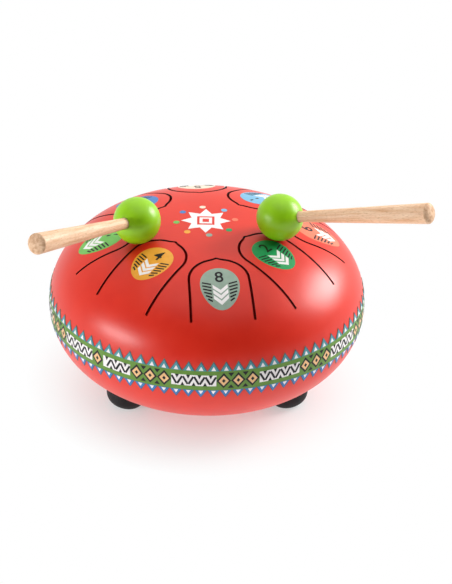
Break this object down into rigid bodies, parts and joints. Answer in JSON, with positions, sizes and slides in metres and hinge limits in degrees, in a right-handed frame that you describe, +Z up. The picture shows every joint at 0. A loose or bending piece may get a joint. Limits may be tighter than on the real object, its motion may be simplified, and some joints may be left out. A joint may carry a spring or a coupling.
{
  "type": "tongue drum",
  "caption": "Round steel tongue drum of two pressed bowls with U-cut tongues, a patterned rim strip, rubber feet and ball mallets; struck to sound notes.",
  "frame": {"origin": "middle of the outline box in X and Y, on the surface that the feet stand on; the drum's own axis is 15.1 mm to the -X side and 4.5 mm to the +Y side of it", "axes": "+Z up along the drum's axis, front of the drum towards -Y, right mallet pointing to +X and forwards"},
  "size_m": [0.2406, 0.2088, 0.1625],
  "materials": {
    "red_enamel": "smooth satin red enamel on pressed steel",
    "printed_strip": "printed film, green with a coloured pattern",
    "black_rubber": "matt black rubber",
    "zinc_steel": "zinc plated steel",
    "lime_paint": "satin lime green paint on a turned wooden ball",
    "beech": "fine sanded light beech"
  },
  "bodies": {
    "drum": {"top_shell": "red_enamel", "bottom_shell": "red_enamel", "pattern_band": "printed_strip", "foot_1": "black_rubber", "foot_2": "black_rubber", "foot_3": "black_rubber", "foot_insert_1": "zinc_steel", "foot_insert_2": "zinc_steel", "foot_insert_3": "zinc_steel", "foot_washer_1": "zinc_steel", "foot_washer_2": "zinc_steel", "foot_washer_3": "zinc_steel", "foot_screw_1": "zinc_steel", "foot_screw_2": "zinc_steel", "foot_screw_3": "zinc_steel"},
    "tongue_1": {"tongue_1": "red_enamel"},
    "tongue_2": {"tongue_2": "red_enamel"},
    "tongue_3": {"tongue_3": "red_enamel"},
    "tongue_4": {"tongue_4": "red_enamel"},
    "tongue_5": {"tongue_5": "red_enamel"},
    "tongue_6": {"tongue_6": "red_enamel"},
    "tongue_7": {"tongue_7": "red_enamel"},
    "tongue_8": {"tongue_8": "red_enamel"},
    "mallet_left": {"mallet_ball_left": "lime_paint", "mallet_stick_left": "beech"},
    "mallet_right": {"mallet_ball_right": "lime_paint", "mallet_stick_right": "beech"}
  },
  "joints": [
    {"name": "tongue_1_bend", "type": "hinge", "parent": "drum", "child": "tongue_1", "pos_m": [-0.005, -0.07892, 0.0928], "axis": [0.9928, 0.1201, 0], "range_deg": [-0.3, 0.3], "stiffness_Nm_per_rad": 5},
    {"name": "tongue_2_bend", "type": "hinge", "parent": "drum", "child": "tongue_2", "pos_m": [0.05102, -0.04736, 0.0928], "axis": [0.617, 0.7869, 0], "range_deg": [-0.3, 0.3], "stiffness_Nm_per_rad": 5},
    {"name": "tongue_3_bend", "type": "hinge", "parent": "drum", "child": "tongue_3", "pos_m": [0.0683, 0.01456, 0.0928], "axis": [-0.1201, 0.9928, 0], "range_deg": [-0.3, 0.3], "stiffness_Nm_per_rad": 5},
    {"name": "tongue_4_bend", "type": "hinge", "parent": "drum", "child": "tongue_4", "pos_m": [0.03674, 0.07058, 0.0928], "axis": [-0.7869, 0.617, 0], "range_deg": [-0.3, 0.3], "stiffness_Nm_per_rad": 5},
    {"name": "tongue_5_bend", "type": "hinge", "parent": "drum", "child": "tongue_5", "pos_m": [-0.02518, 0.08786, 0.0928], "axis": [-0.9928, -0.1201, 0], "range_deg": [-0.3, 0.3], "stiffness_Nm_per_rad": 5},
    {"name": "tongue_6_bend", "type": "hinge", "parent": "drum", "child": "tongue_6", "pos_m": [-0.08119, 0.0563, 0.0928], "axis": [-0.617, -0.7869, 0], "range_deg": [-0.3, 0.3], "stiffness_Nm_per_rad": 5},
    {"name": "tongue_7_bend", "type": "hinge", "parent": "drum", "child": "tongue_7", "pos_m": [-0.09848, -0.00562, 0.0928], "axis": [0.1201, -0.9928, 0], "range_deg": [-0.3, 0.3], "stiffness_Nm_per_rad": 5},
    {"name": "tongue_8_bend", "type": "hinge", "parent": "drum", "child": "tongue_8", "pos_m": [-0.06692, -0.06163, 0.0928], "axis": [0.7869, -0.617, 0], "range_deg": [-0.3, 0.3], "stiffness_Nm_per_rad": 5},
    {"name": "mallet_left_lift", "type": "slide", "parent": "drum", "child": "mallet_left", "axis": [0, 0, 1], "range_m": [0, 0.12]},
    {"name": "mallet_right_lift", "type": "slide", "parent": "drum", "child": "mallet_right", "axis": [0, 0, 1], "range_m": [0, 0.12]}
  ]
}
